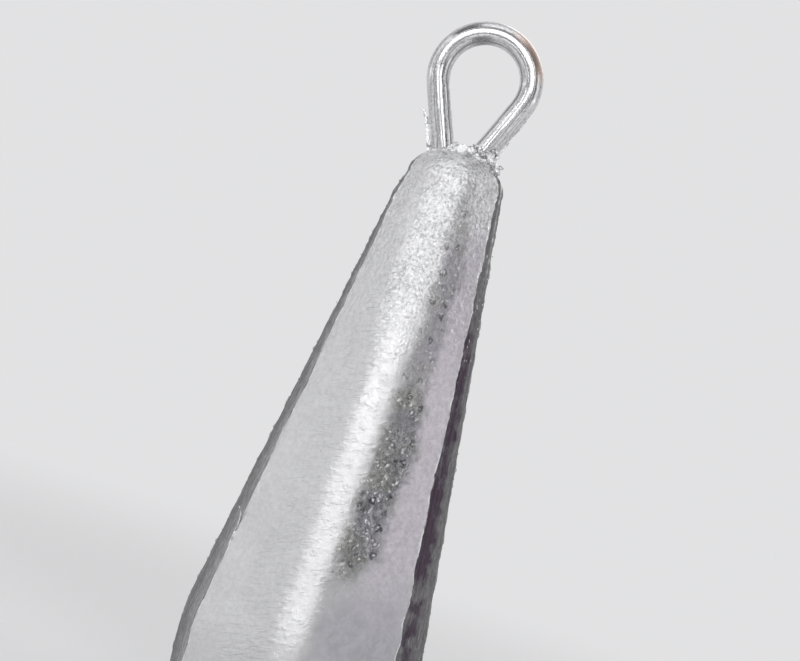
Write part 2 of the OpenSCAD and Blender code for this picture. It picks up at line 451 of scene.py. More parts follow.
class Skin:
    """The relief and the marks of the cast skin at a point, among them the marks for painted shade and
    highlights. The shaded faces, on which shade is painted, are the front's right one and the back's left
    one."""

    # Heights between which a mark sets in, or dies out where the first is higher
    HAZE_HEIGHT = (20.5, 12.5)
    LILAC_END = (44.0, 48.5)
    COARSE_HEIGHT = (26.0, 49.0)
    COARSE_RIDGE_HEIGHT = (30.0, 45.0)
    WRINKLED_HEIGHT = (47.0, 40.0)
    PITTED_HEIGHT = (38.0, 48.0)
    TORN_HEIGHT = (43.0, 48.0)
    CROWN_LINE_HEIGHT = (50.6, 51.2)
    SEAM_LINE_HEIGHT = (41.0, 46.0)
    # Places across a half: 0 on the ridge, 1 at the seam of its shaded face, -1 at the clean one's
    HAZE_ACROSS = (0.09, 0.30)
    LILAC_ACROSS = (0.14, 0.62)
    COARSE_RIDGE_ACROSS = (0.62, 0.12)
    COARSE_RIDGE_MIDDLE = -0.08
    WRINKLED_ACROSS = (-0.66, -0.45, -0.16, -0.05)
    # Parts of the way up the dome at which the scraping, the burrs and the painted highlight line end
    SCRAPED_END = (0.15, 0.75)
    BURRS_END = (0.3, 0.9)
    LINE_END = (0.75, 0.55)
    # Half widths of the burr's lip, of the flash line and of the painted highlight line, and how far the
    # last lies from the seam
    LIP_WIDTH = 0.13
    FLASH_WIDTH = 0.17
    LINE_WIDTH = 0.14
    LINE_PLACE = 0.42
    # Width of a side flat on which the scraped border strays in full
    WIDE_STRIP = 3.0

    def __init__(self, station, skin, p, crowning):
        self.p, self.skin, self.crowning = p, skin, crowning
        shoulder, seam, ridge = (corner / MM for corner in (station.shoulder, station.seam, station.ridge))
        here = Vector((p.x if p.x > 0.0 else -p.x * station.right / station.left, abs(p.y)))
        self.strip = (seam - shoulder).length
        to_seam = (here - shoulder).dot((seam - shoulder).normalized())
        to_ridge = (here - shoulder).dot((ridge - shoulder).normalized())
        self.past = to_seam if to_seam > to_ridge else -to_ridge
        self.from_seam = (here - seam).length
        self.across = (p.x if p.y < 0.0 else -p.x) / seam.x
        # The face that gets the painted shade: 1 on the front's right and the back's left
        self.shaded_side = 1.0 if self.across > 0.0 else 0.0
        self.quarter = 2.0 * (p.x > 0.0) + 1.0 * (p.y > 0.0)
        self.scrape_marks()
        self.shade_and_oxide_marks()
        self.height = self.cast() * (1.0 - 0.75 * self.scraped) + self.trimmed()

    def down(self, height, waves, seed):
        """Smooth noise down a quarter, with its height and its waves per millimetre."""
        return height * streaks(self.p.z * waves, self.quarter, seed)

    def scrape_marks(self):
        """How far the point lies past the border of the scraped flat, and how much painted shade the flat
        gets there.
        """
        stray = self.down(0.34, 0.21, 1.0) + self.down(0.18, 0.7, 5.0)
        stray *= 1.0 + 0.5 * self.shaded_side
        self.beyond = self.past - stray * min(1.0, self.strip / self.WIDE_STRIP)
        self.border = 0.5 + self.beyond / BORDER_RANGE
        self.below = 1.0 - smooth(*self.SCRAPED_END, self.crowning)
        self.scraped = smooth(-0.05, 0.07, self.beyond) * self.below
        self.outward = min(1.0, max(0.0, self.beyond / self.strip))
        # How much painted shade the scraped flat gets: more towards its seam and on the shaded side
        self.seam_shade = max(self.outward, 0.70 * self.shaded_side)

    def shade_and_oxide_marks(self):
        """The pitted band and the haze, lilac and plum painted as shade and reflection on the shaded faces,
        and the coarse and wrinkled skin.
        """
        p = self.p
        skin_left = 1.0 - self.scraped
        drift = self.across + layered(p, (0.05, 2.4, 17.0), (0.03, 0.7, 19.0))
        low = smooth(*self.HAZE_HEIGHT, p.z + layered(p, (2.4, 2.5, 19.0)))
        high = smooth(*self.LILAC_END, p.z + layered(p, (2.0, 1.8, 23.0)))
        self.pitting_and_shade = self.pitting_and_shade_band() * skin_left * self.shaded_side
        self.haze_shade = low * smooth(*self.HAZE_ACROSS, drift) * skin_left * self.shaded_side
        self.lilac_reflection = smooth(*self.LILAC_ACROSS, drift) * skin_left * self.shaded_side
        self.lilac_reflection *= (1.0 - 0.45 * low) * (1.0 - 0.85 * high)
        self.plum_shade = self.plum_shade_band() * self.shaded_side * self.below
        # Coarse skin high on the ridge, whose pebbles the finish paints as highlights
        from_ridge = abs(self.across - self.COARSE_RIDGE_MIDDLE)
        on_ridge = smooth(*self.COARSE_RIDGE_ACROSS, from_ridge) * smooth(*self.COARSE_RIDGE_HEIGHT, p.z)
        up = smooth(*self.COARSE_HEIGHT, p.z) * (1.0 if self.shaded_side else 0.55)
        self.coarse = max(up, 0.9 * on_ridge, 0.8 * self.pitting_and_shade, smooth(0.0, 0.3, self.crowning))
        beside = band(self.across, *self.WRINKLED_ACROSS)
        self.wrinkled = beside * smooth(*self.WRINKLED_HEIGHT, p.z) * skin_left

    def shade_height(self):
        """The height at which the point stands in the pattern of painted shade and oxide."""
        return self.p.z + (BACK_DRIFT if self.p.y > 0.0 else 0.0)

    def pitting_and_shade_band(self):
        """The band of oxide pitting down the shaded face, painted darker as shade, with ragged edges."""
        p = self.p
        inner, outer, strength = along_table(PITTING_AND_SHADE_BAND, self.shade_height() + layered(p, (1.2, 3.0, 31.0)))
        ragged = self.across + layered(p, (0.06, 1.9, 3.0), (0.05, 0.8, 8.0), (0.04, 0.4, 5.0))
        return strength * band(ragged, inner - 0.07, inner + 0.10, outer - 0.10, outer + 0.15)

    def plum_shade_band(self):
        """The painted plum shade, from the edge of the scraped flat out to a bit past its middle."""
        strength = along_table(PLUM_SHADE_BAND, self.shade_height())[0]
        reach = band(self.outward + self.down(0.14, 0.9, 71.0), -0.15, 0.12, 0.30, 0.85)
        return 0.8 * strength * reach * smooth(-0.15, 0.15, self.beyond)

    def cast(self):
        """The relief of the cast skin: waves, grain, creases, the crown's folds, pits and beads."""
        p, skin = self.p, self.skin
        height = skin.waves / MM * (layered(p, (1.0, 9.0, 2.0), (0.45, 3.6, 4.0)) - 0.35)
        grain = mix(skin.fine_grain, skin.grain, self.coarse) / MM
        pebbles = 0.45 - pebble(p, 0.50, 7.0) - 0.45 * pebble(p, 0.30, 9.0) + 0.5 * lumps(p, 0.95, 11.0)
        height += grain * 1.3 * pebbles
        crease = max(0.0, 1.0 - 2.6 * abs(lumps(Vector((p.x * 0.4, p.y * 0.4, p.z)), 0.8, 13.0))) ** 3
        height -= skin.creases / MM * crease * smooth(-0.1, 0.3, lumps(p, 3.1, 15.0))
        folds = max(0.0, 1.0 - 3.0 * abs(layered(p, (1.0, 0.95, 43.0), (0.3, 0.45, 45.0)))) ** 2
        folds *= smooth(0.10, 0.45, self.crowning)
        height -= skin.folds / MM * folds
        pitted = max(self.pitting_and_shade, 0.45 * smooth(*self.PITTED_HEIGHT, p.z) * (1.0 - self.scraped))
        pit = spots(p, 0.62, 0.55, 0.40, 2.7) if pitted > 0.05 else 0.0
        bead = spots(p, 1.05, 0.42, 0.30, 12.3) if pitted > 0.05 else 0.0
        height += pitted * (skin.beads / MM * bead - skin.pits / MM * pit)
        # Masks for painted shade in the pits, round the beads and in the folds, and for painted highlights
        # on the beads
        rim = band(bead, 0.02, 0.25, 0.35, 0.7)
        self.hollow_shade = min(1.0, pitted * max(0.75 * pit, rim) + 0.15 * folds)
        self.bead = min(1.0, pitted * smooth(0.35, 0.8, bead) * 1.5)
        return height

    def trimmed(self):
        """The relief of the scraped flats, their torn lip and the flash line, and where highlights are
        painted along them and beside the seam.
        """
        p, skin = self.p, self.skin
        below = 1.0 - smooth(*self.BURRS_END, self.crowning)
        grooves = streaks(self.past / 0.27, p.z / 7.0, self.quarter)
        grooves += 0.5 * streaks(self.past / 0.12, p.z / 3.0, self.quarter)
        height = -skin.scrape / MM * self.scraped * (0.75 + self.down(0.5, 0.2, 21.0))
        height += skin.grooves / MM * self.scraped * grooves
        torn = smooth(-0.15, 0.35, self.down(1.0, 0.55, 25.0) + 0.3 * streaks(p.z * 2.3, 0.0, 26.0))
        torn = max(torn, smooth(*self.TORN_HEIGHT, p.z))
        beads = 0.35 + 0.65 * smooth(-0.1, 0.3, streaks(p.z / 0.45, self.quarter, 28.0))
        lip = torn * beads * bell(self.beyond, self.LIP_WIDTH) * below
        ragged = smooth(-0.3, 0.3, streaks(p.z / 1.5, self.quarter // 2, 27.0))
        ragged *= 0.6 + streaks(p.z / 0.33, 0.0, 29.0)
        flash = ragged * bell(self.from_seam, self.FLASH_WIDTH) * below
        # A highlight line painted beside the seam on the front's +X face, near the crown and high up the
        # seam
        line = smooth(*self.CROWN_LINE_HEIGHT, p.z) * smooth(*self.LINE_END, self.crowning)
        line = max(line, 0.9 * smooth(*self.SEAM_LINE_HEIGHT, p.z) * beads * below)
        line *= bell(self.from_seam - self.LINE_PLACE, self.LINE_WIDTH) if p.x > 0.0 > p.y else 0.0
        # Where highlights are painted: on the lip, the flash line and that line
        self.edge = min(1.0, max(0.0, 0.6 * lip, 0.8 * flash, line))
        return height + skin.lip / MM * lip + skin.flash / MM * flash


class SINKER_OT_casting(bpy.types.Operator):
    """Model the lead: the cast form with its grain, pits and creases, and the scraped side flats"""

    bl_idname = "sinker.casting"
    bl_label = "Cast Lead"

    # The marks of the base, where the whole layer of reflection, shade and wrinkles is full
    BASE_MARKS = {
        "coarse": 0.4, "seam_shade": 0.3, "border": 0.5 + 1.0 / BORDER_RANGE,
        "lilac_reflection": 1.0, "plum_shade": 1.0, "bead": 1.0, "wrinkled": 1.0,
    }
    # The base: height of its saw marks, depth of its shrinkage, and the radii between which the
    # shrinkage deepens and both die out
    SAWN = 0.02
    SUNK = 0.12
    SUNK_REACH = (6.5, 0.5)
    BASE_REACH = (8.4, 7.0)
    # The lead that crept up the wire: the share on each leg, -X first, the distances from the wire
    # between which it rises, and how far below the crown's top it can start
    CREPT = (0.2, 1.0)
    CREEP_REACH = (0.75, 0.05)
    CREEP_DROP = 2.0
    # The groove in front of the web: how far it lies below the crown's top, its half width and
    # depth, the places along X where it starts and ends, and where it dies out towards the web
    GROOVE_DROP = 0.15
    GROOVE_WIDTH = 0.05
    GROOVE_DEPTH = 0.05
    GROOVE_ENDS = (-1.7, -1.3, 0.9, 1.3)
    GROOVE_FRONT = (0.0, -0.3)

    def execute(self, context):
        scene = context.scene
        c = scene.sinker_casting
        rows = stations(c)
        bm = bmesh.new()
        for name in MARKS:
            bm.verts.layers.float_color.new(name)
        columns = len(rows[0].outline())
        ring = bmesh.ops.create_circle(bm, segments=columns, radius=c.width)["verts"]
        rings = []
        for number, row in enumerate(rows):
            ring = extrude_ring(bm, ring) if number else ring
            deep = 0.4 * min(row.left, row.right) + 0.6 * max(row.left, row.right)
            for vert, point in zip(ring, row.outline()):
                vert.co = (point.x * (row.right if point.x > 0.0 else row.left), point.y * deep, row.height)
            rings.append(ring)
        close_ring(bm, rings[0], Vector((0.0, 0.0, 0.0)))
        close_ring(bm, rings[-1], Vector((0.0, 0.0, c.crown)))
        bmesh.ops.recalc_face_normals(bm, faces=bm.faces)
        bm.normal_update()
        self.relieve(bm, rings, rows, scene)
        make_piece("cast_body", bm, cast_lead(scene.sinker_colours), ["lead_body"])
        return {"FINISHED"}

    def relieve(self, bm, rings, rows, scene):
        """Moves every vertex by the relief there and stores the marks that the finish reads."""
        c, skin, w = scene.sinker_casting, scene.sinker_skin, scene.sinker_wire
        layers = [(bm.verts.layers.float_color[name], marks) for name, marks in MARKS.items()]
        roots = leg_roots(w, c)
        moves = []
        for ring, row in zip(rings, rows):
            for vert in ring:
                p = vert.co / MM
                if row.height == 0.0:
                    move, found = Vector((0.0, 0.0, self.base_dent(p))), self.BASE_MARKS
                else:
                    spot = Skin(row, skin, p, 1.0 - row.right if row.height > c.widest else 0.0)
                    move, found = vert.normal * spot.height, vars(spot)
                    move.z += self.crept(p, roots, w, skin) - self.web_groove(p, spot, c.crown / MM)
                moves.append((vert, move))
                for layer, marks in layers:
                    values = [found.get(mark, 0.0) for mark in marks]
                    vert[layer] = (values + [1.0])[:4]
        for vert, move in moves:
            vert.co += move * MM
            for axis in range(2):
                vert.co[axis] = max(lead_low[axis], min(lead_high[axis], vert.co[axis]))
            vert.co.z = max(0.0, vert.co.z)
        bm.normal_update()

    def base_dent(self, p):
        """Saw marks and shrinkage in the flat base, all of them upwards."""
        sawn = self.SAWN * (1.0 + streaks(p.x / 0.5, p.y / 9.0, 3.0))
        sunk = self.SUNK * smooth(*self.SUNK_REACH, math.hypot(p.x * 1.1, p.y))
        sunk *= 1.0 + 0.6 * lumps(p, 1.6, 51.0)
        return (sawn + sunk) * smooth(*self.BASE_REACH, math.hypot(p.x, p.y))

    def crept(self, p, roots, w, skin):
        """How far the lead crept up the wire at a point on the crown."""
        if p.z < roots[0].z / MM - self.CREEP_DROP:
            return 0.0
        climb = 0.0
        for root, part in zip(roots, self.CREPT):
            near = math.hypot(p.x - root.x / MM, p.y) - w.diameter / MM / 2
            climb = max(climb, part * smooth(*self.CREEP_REACH, near))
        return skin.crawl / MM * climb * (1.0 + 0.9 * lumps(p, 0.5, 61.0))

    def web_groove(self, p, spot, crown):
        """The groove in the crown just in front of the web, where the web tore. It paints shade along the
        groove into the spot's mark.
        """
        level = crown - self.GROOVE_DROP - 0.03 * streaks(p.x / 0.4, 0.0, 5.0)
        cut = bell(p.z - level, self.GROOVE_WIDTH)
        cut *= band(p.x, *self.GROOVE_ENDS) * smooth(*self.GROOVE_FRONT, p.y)
        spot.hollow_shade = min(1.0, spot.hollow_shade + 0.7 * cut)
        return self.GROOVE_DEPTH * cut


# The wire

def leg_line(w, c):
    """The straight legs: their lean off upright, their length and the height of the eye's middle."""
    eye_z = wire_high.z - w.diameter / 2 - w.eye_radius
    across = (w.diameter + w.tail_gap) / 2 + w.throat_radius
    down = eye_z - (c.crown - w.throat_depth)
    reach = w.eye_radius + w.throat_radius
    far = math.hypot(across, down)
    return math.asin(reach / far) - math.atan2(across, down), math.sqrt(far ** 2 - reach ** 2), eye_z


def leg_roots(w, c):
    """Where the middles of the two legs pass through the crown, -X first."""
    lean, _, eye_z = leg_line(w, c)
    top = Vector((w.eye_radius * math.cos(lean), 0.0, eye_z - w.eye_radius * math.sin(lean)))
    across = top.x - (top.z - c.crown) * math.tan(lean)
    return [Vector((w.shift + side * across, 0.0, c.crown)) for side in (-1, 1)]


def leg_root(w, c, side):
    """Where the middle of the leg on a side, -1 or 1, passes through the crown."""
    return leg_roots(w, c)[side > 0]


def leg_frame(w, c, side):
    """The axes of a straight leg: across it towards +X, towards +Y and up it."""
    lean = side * leg_line(w, c)[0]
    across = Vector((math.cos(lean), 0.0, -math.sin(lean)))
    up = Vector((math.sin(lean), 0.0, math.cos(lean)))
    return Matrix((across, Vector((0.0, 1.0, 0.0)), up)).transposed()


# Place of the web's middle in front of the parting plane, in millimetres, and how its ends curve away
WEB_FRONT = 0.62
WEB_CURVE = 0.27
WIRE_SIDES = 64
WIRE_STEP = 0.35 * MM
# How far the wire's skin is uneven, in millimetres
WIRE_DENT = 0.012


def web_front(w, x):
    """The place of the web on Y at a place on X, in millimetres."""
    return -(WEB_FRONT + WEB_CURVE * (x - w.shift / MM) ** 2)


class WirePen:
    """Draws a wire in the XZ plane by extruding a ring of vertices along runs and bends"""

    def __init__(self, bm, start, heading, diameter):
        self.bm, self.place, self.heading = bm, start, heading
        facing = Matrix.Translation(start) @ Matrix.Rotation(heading, 4, "Y")
        made = bmesh.ops.create_circle(bm, segments=WIRE_SIDES, radius=diameter / 2, matrix=facing)
        self.ring = made["verts"]
        self.rings = [(self.ring, start.copy(), 0.0)]
        self.drawn = 0.0

    def forward(self):
        """The way in which the wire is heading."""
        return Vector((math.sin(self.heading), 0.0, math.cos(self.heading)))

    def follow(self, size, move):
        """Extrudes the ring along a stretch of a size. move(vertices, part) moves them by a part of it."""
        count = math.ceil(size / WIRE_STEP)
        for _ in range(count):
            self.ring = extrude_ring(self.bm, self.ring)
            move(self.ring, 1.0 / count)
            self.drawn += size / count
            self.rings.append((self.ring, self.place.copy(), self.drawn))

    def run(self, size):
        """Goes straight on for a size."""
        def move(verts, part):
            onward = self.forward() * size * part
            bmesh.ops.translate(self.bm, verts=verts, vec=onward)
            self.place += onward
        self.follow(size, move)

    def bend(self, radius, turn):
        """Turns through an angle, from +Z towards +X where it is above zero."""
        ahead = self.forward()
        right = Vector((ahead.z, 0.0, -ahead.x))
        pivot = self.place + right * math.copysign(radius, turn)

        def move(verts, part):
            turned = Matrix.Rotation(turn * part, 3, "Y")
            bmesh.ops.rotate(self.bm, verts=verts, cent=pivot, matrix=turned)
            self.place = pivot + turned @ (self.place - pivot)
        self.follow(radius * abs(turn), move)
        self.heading += turn


class SINKER_OT_wire(bpy.types.Operator):
    """Model the wire: its splayed ends and tails in the lead, its legs and its round eye"""

    bl_idname = "sinker.wire"
    bl_label = "Wire Eye"

    def execute(self, context):
        scene = context.scene
        c, w = scene.sinker_casting, scene.sinker_wire
        lean, leg, eye_z = leg_line(w, c)
        anchor_z = c.crown - w.throat_depth - w.tail
        turn_x = (w.diameter + w.tail_gap) / 2 + w.anchor_radius
        cosine, sine = math.cos(w.anchor_angle), math.sin(w.anchor_angle)
        start = Vector((
            w.shift - turn_x + w.anchor_radius * cosine - w.anchor * sine,
            0.0,
            anchor_z - w.anchor_radius * sine - w.anchor * cosine,
        ))
        bm = bmesh.new()
        bm.verts.layers.float_vector.new("drawn")
        pen = WirePen(bm, start, w.anchor_angle, w.diameter)
        inward = [
            (pen.run, w.anchor), (pen.bend, w.anchor_radius, -w.anchor_angle),
            (pen.run, w.tail), (pen.bend, w.throat_radius, -lean), (pen.run, leg),
        ]
        for draw, *sizes in inward + [(pen.bend, w.eye_radius, math.pi + 2 * lean)] + inward[::-1]:
            draw(*sizes)
        self.surface(bm, pen)
        for ring, place, _ in (pen.rings[0], pen.rings[-1]):
            close_ring(bm, ring, place)
        bmesh.ops.recalc_face_normals(bm, faces=bm.faces)
        finish = drawn_steel(scene.sinker_colours, Vector((w.shift, 0.0, eye_z)), w)
        make_piece("eye_wire", bm, finish, ["wire_eye"])
        return {"FINISHED"}

    def surface(self, bm, pen):
        """Stores where each vertex lies round and along the wire, in millimetres, and makes the wire
        a little uneven, always inwards. On X it keeps 1 inside the eye, and on Y -1 at the front."""
        drawn = bm.verts.layers.float_vector["drawn"]
        for ring, place, along in pen.rings:
            for i, vert in enumerate(ring):
                turn = 2 * math.pi * i / len(ring) + math.pi / 2
                spot = Vector((math.cos(turn), math.sin(turn), along / MM))
                vert[drawn] = spot
                dent = WIRE_DENT * (1.0 + streaks(turn, along / MM / 2.3, 3.0) + lumps(spot, 0.9, 5.0))
                vert.co += (place - vert.co).normalized() * dent * MM


# The thin flash round the eye and down the seams

def thicken(bm, thickness):
    """Gives a sheet its wall, of a thickness in millimetres."""
    bmesh.ops.recalc_face_normals(bm, faces=bm.faces)
    bmesh.ops.solidify(bm, geom=list(bm.faces), thickness=thickness * MM)
    bmesh.ops.recalc_face_normals(bm, faces=bm.faces)


def roughen(bm, size, depth, seed):
    """Moves the vertices of a small piece by noise in lumps of a size, in millimetres."""
    for vert in bm.verts:
        p = vert.co / MM
        shove = Vector((lumps(p, size, seed), lumps(p, size, seed + 3.0), lumps(p, size, seed + 6.0)))
        vert.co += shove * depth * MM


def make_flash(name, bm, wall, *roughness):
    """Makes a piece of torn flash from a sheet, or from closed lumps where there is no wall. Each
    roughness is a size, a depth and a seed."""
    if wall:
        thicken(bm, wall)
    for size, depth, seed in roughness:
        roughen(bm, size, depth, seed)
    make_piece(name, bm, flash_lead(bpy.context.scene.sinker_colours))


def add_sheet(bm, columns, rows):
    """Adds a flat sheet and gives its vertices, each with its place across and up it from 0 to 1."""
    made = bmesh.ops.create_grid(bm, x_segments=columns, y_segments=rows, size=0.5)["verts"]
    return [(vert, vert.co.x + 0.5, vert.co.y + 0.5) for vert in made]


def between_points(points, part):
    """The value at a part, 0 to 1, of the way along evenly spaced numbers or vectors."""
    place = part * (len(points) - 1)
    low = min(int(place), len(points) - 2)
    return points[low] + (points[low + 1] - points[low]) * (place - low)


def curve_point(path, part):
    """The point at a part, 0 to 1, of the way along the smooth curve through a few points."""
    place = part * (len(path) - 1)
    low = min(int(place), len(path) - 2)
    t = place - low
    a, b, c, d = path[max(low - 1, 0)], path[low], path[low + 1], path[min(low + 2, len(path) - 1)]
    bend = (2 * a - 5 * b + 4 * c - d) * t ** 2
    return 0.5 * (2 * b + (c - a) * t + bend + (3 * b - a - 3 * c + d) * t ** 3)


class SINKER_OT_leg_web(bpy.types.Operator):
    """Model the crumpled web of flash that stands between the legs of the eye and in front of them"""

    bl_idname = "sinker.leg_web"
    bl_label = "Leg Web"

    # Height of the web's torn top edge above the crown, in millimetres, from its -X end to its +X end
    TOP = (-0.10, 0.14, 0.46, 0.66, 0.72, 0.66, 0.72, 0.76, 0.50)
    TORN = 0.12
    ENDS = (-1.62, 0.98)
    ROOT = -0.7
    # How far the top leans to the front, and how far that varies
    LEAN = -0.14
    CRUMPLE = 0.16
    WALL = 0.30
    COLUMNS = 44
    ROWS = 16

    def execute(self, context):
        scene = context.scene
        c, w = scene.sinker_casting, scene.sinker_wire
        bm = bmesh.new()
        for vert, across, up in add_sheet(bm, self.COLUMNS, self.ROWS):
            x = mix(*self.ENDS, across)
            top = between_points(self.TOP, across) + self.TORN * streaks(across * 17.0, 0.0, 7.0)
            lean = self.LEAN + self.CRUMPLE * streaks(across * 3.0, up * 0.8, 11.0)
            height = c.crown / MM + mix(self.ROOT, top, up)
            vert.co = Vector((x, web_front(w, x) + lean * up, height)) * MM
        make_flash("leg_web", bm, self.WALL, (0.55, 0.07, 5.0), (0.20, 0.02, 6.0))
        return {"FINISHED"}


class SINKER_OT_root_collars(bpy.types.Operator):
    """Model the torn collars of lead that crept up round the roots of the legs"""

    bl_idname = "sinker.root_collars"
    bl_label = "Root Collars"

    # For each leg: its side, the collar's height, how much higher it is towards +X, and how far its
    # torn edge varies, in millimetres
    COLLARS = {
        "left_collar": (-1, -0.20, -0.05, 0.10),
        "right_collar": (1, 0.80, 0.45, 0.75),
    }
    SEGMENTS = 84
    RINGS = 10
    WALL = 0.09
    SUNK = 0.7
    # How far the collar's root flares out, and how far it wanders off the wire
    FLARE = 0.20
    WANDER = 0.08

    def execute(self, context):
        scene = context.scene
        c, w = scene.sinker_casting, scene.sinker_wire
        for name, (side, height, slant, torn) in self.COLLARS.items():
            root, facing = leg_root(w, c, side), leg_frame(w, c, side)
            bm = bmesh.new()
            ring = bmesh.ops.create_circle(bm, segments=self.SEGMENTS, radius=w.diameter / 2)["verts"]
            turns = [Vector((v.co.x, v.co.y, 0.0)).normalized() for v in ring]
            for row in range(self.RINGS + 1):
                ring = extrude_ring(bm, ring) if row else ring
                part = row / self.RINGS
                for vert, turn in zip(ring, turns):
                    tear = streaks(turn.x * 1.9, turn.y * 1.9, side)
                    tear += 0.7 * streaks(turn.x * 7.0, turn.y * 7.0, 5.0)
                    up = mix(-self.SUNK, height + slant * turn.x + torn * tear, part)
                    flare = self.FLARE * (1.0 - part) ** 3
                    flare += self.WANDER * streaks(turn.x * 4.0, turn.y * 4.0, part * 3.0)
                    reach = w.diameter / 2 + (self.WALL + max(0.0, flare)) * MM
                    vert.co = root + facing @ (turn * reach + Vector((0.0, 0.0, up * MM)))
            make_flash(name, bm, self.WALL, (0.24, 0.07, 9.0))
        return {"FINISHED"}


GOLDEN_TURN = math.pi * (3.0 - math.sqrt(5.0))


def add_crumb(bm, place, radius, fate, number):
    """Adds a squashed crumb of lead at a place. fate holds three numbers from 0 to 1."""
    squash = Matrix.Diagonal((1.3 - 0.6 * fate.y, 0.7 + 0.6 * fate.x, 0.6 + 0.5 * fate.z, 1.0))
    tilt = Matrix.Rotation(number * GOLDEN_TURN, 4, fate.normalized())
    facing = Matrix.Translation(place) @ tilt @ squash
    bmesh.ops.create_icosphere(bm, subdivisions=2, radius=radius, matrix=facing)


class SINKER_OT_crumbs(bpy.types.Operator):
    """Model the crumbs of lead that cling round the roots of the legs and down the seams"""

    bl_idname = "sinker.crumbs"
    bl_label = "Crumbs"

    # Clusters: side of the eye, how many, middle turn round the leg in degrees with 0 at the front,
    # spread in degrees, and highest place above the crown in millimetres
    CLUSTERS = (
        (1, 24, 12.0, 100.0, 1.0), (1, 12, 75.0, 70.0, 1.5), (1, 10, 170.0, 120.0, 0.8),
        (-1, 6, 160.0, 130.0, 0.3),
    )
    ON_SEAMS = 34
    # Radius of the smallest and the largest crumb at the roots and on the seams, in millimetres
    ROOT_CRUMBS = (0.09, 0.26)
    SEAM_CRUMBS = (0.05, 0.11)
    # Gap between the wire and the crumbs, how far the lowest ones are sunk, and how far the ones on
    # the seams lie off the parting plane at most
    OFF_WIRE = 0.05
    SUNK = 0.1
    OFF_SEAM = 0.1

    def execute(self, context):
        scene = context.scene
        c, w = scene.sinker_casting, scene.sinker_wire
        bm = bmesh.new()
        for group, (side, count, middle, spread, highest) in enumerate(self.CLUSTERS):
            root, facing = leg_root(w, c, side), leg_frame(w, c, side)
            for i in range(count):
                fate = noise.cell_vector(Vector((i * 1.7, group * 3.1, side * 5.3)))
                turn = math.radians(middle + spread * (fate.x - 0.5))
                radius = mix(*self.ROOT_CRUMBS, fate.y) * MM
                out = w.diameter / 2 + 0.6 * radius + self.OFF_WIRE * MM
                rise = (highest * fate.z ** 1.3 - self.SUNK) * MM
                spot = Vector((math.sin(turn) * out, -math.cos(turn) * out, rise))
                add_crumb(bm, root + facing @ spot, radius, fate, i)
        make_flash("root_crumbs", bm, None, (0.17, 0.08, 13.0))
        bm = bmesh.new()
        for i in range(self.ON_SEAMS):
            fate = noise.cell_vector(Vector((i * 2.3, 7.7, 1.9)))
            height = mix(c.widest, c.crown - c.dome, (i + fate.x) / self.ON_SEAMS)
            side = -1 if i % 2 else 1
            radius = mix(*self.SEAM_CRUMBS, fate.z ** 2) * MM
            reach = body_station(c, height).width / 2 - 0.3 * radius
            off = (2.0 * fate.y - 1.0) * self.OFF_SEAM * MM
            add_crumb(bm, Vector((side * reach, off, height)), radius, fate, i)
        make_flash("seam_crumbs", bm, None, (0.12, 0.05, 15.0))
        return {"FINISHED"}


class SINKER_OT_slivers(bpy.types.Operator):
    """Model the thin slivers of flash beside the legs, and the one that curls off a shoulder"""

    bl_idname = "sinker.slivers"
    bl_label = "Slivers"

    STEPS = 34
    ACROSS = 4
    # Points of each sliver beside a leg, in millimetres: how far out from the wire and how far up
    LEFT = ((0.10, -0.3), (0.19, 0.9), (0.18, 2.0), (0.22, 2.8), (0.30, 3.2), (0.50, 3.4))
    RIGHT = ((0.04, 0.3), (0.08, 1.6), (0.05, 3.2), (0.02, 5.0))
    # Points of the sliver on the shoulder: height above the base and lift off the shoulder
    SHOULDER = ((16.3, -0.02), (17.2, 0.07), (18.2, 0.05), (19.0, 0.22), (19.4, 0.42), (19.6, 0.66))
    # Widths of each sliver at its root and its tip, and the walls, in millimetres
    LEFT_WIDTHS = (0.36, 0.26)
    RIGHT_WIDTHS = (0.10, 0.06)
    SHOULDER_WIDTHS = (0.24, 0.08)
    LEG_WALL = 0.07
    SHOULDER_WALL = 0.06

    def execute(self, context):
        scene = context.scene
        c, w = scene.sinker_casting, scene.sinker_wire
        bm = bmesh.new()
        for side, points, widths in ((-1, self.LEFT, self.LEFT_WIDTHS), (1, self.RIGHT, self.RIGHT_WIDTHS)):
            root, facing = leg_root(w, c, side), leg_frame(w, c, side)
            path = []
            for out, up in points:
                spot = Vector((side * (w.diameter / 2 + out * MM), 0.0, up * MM))
                path.append(root + facing @ spot)
            self.sliver(bm, path, facing.col[0], widths, side)
        make_flash("leg_slivers", bm, self.LEG_WALL, (0.4, 0.05, 17.0))
        bm = bmesh.new()
        path = []
        for height, lift in self.SHOULDER:
            shoulder = body_station(c, height * MM).shoulder
            out = -shoulder.normalized()
            path.append(Vector((*(-shoulder + out * lift * MM), height * MM)))
        self.sliver(bm, path, Vector((-out.y, out.x, 0.0)), self.SHOULDER_WIDTHS, 3.0)
        make_flash("shoulder_sliver", bm, self.SHOULDER_WALL, (0.5, 0.04, 19.0))
        return {"FINISHED"}

    def sliver(self, bm, path, sideways, widths, seed):
        """A ragged ribbon along a path, which narrows towards its end."""
        for vert, across, up in add_sheet(bm, self.ACROSS, self.STEPS):
            off = across - 0.5
            width = mix(*widths, up) * (1.0 + 0.35 * streaks(up * 9.0, off, seed))
            vert.co = curve_point(path, up) + sideways * off * width * MM


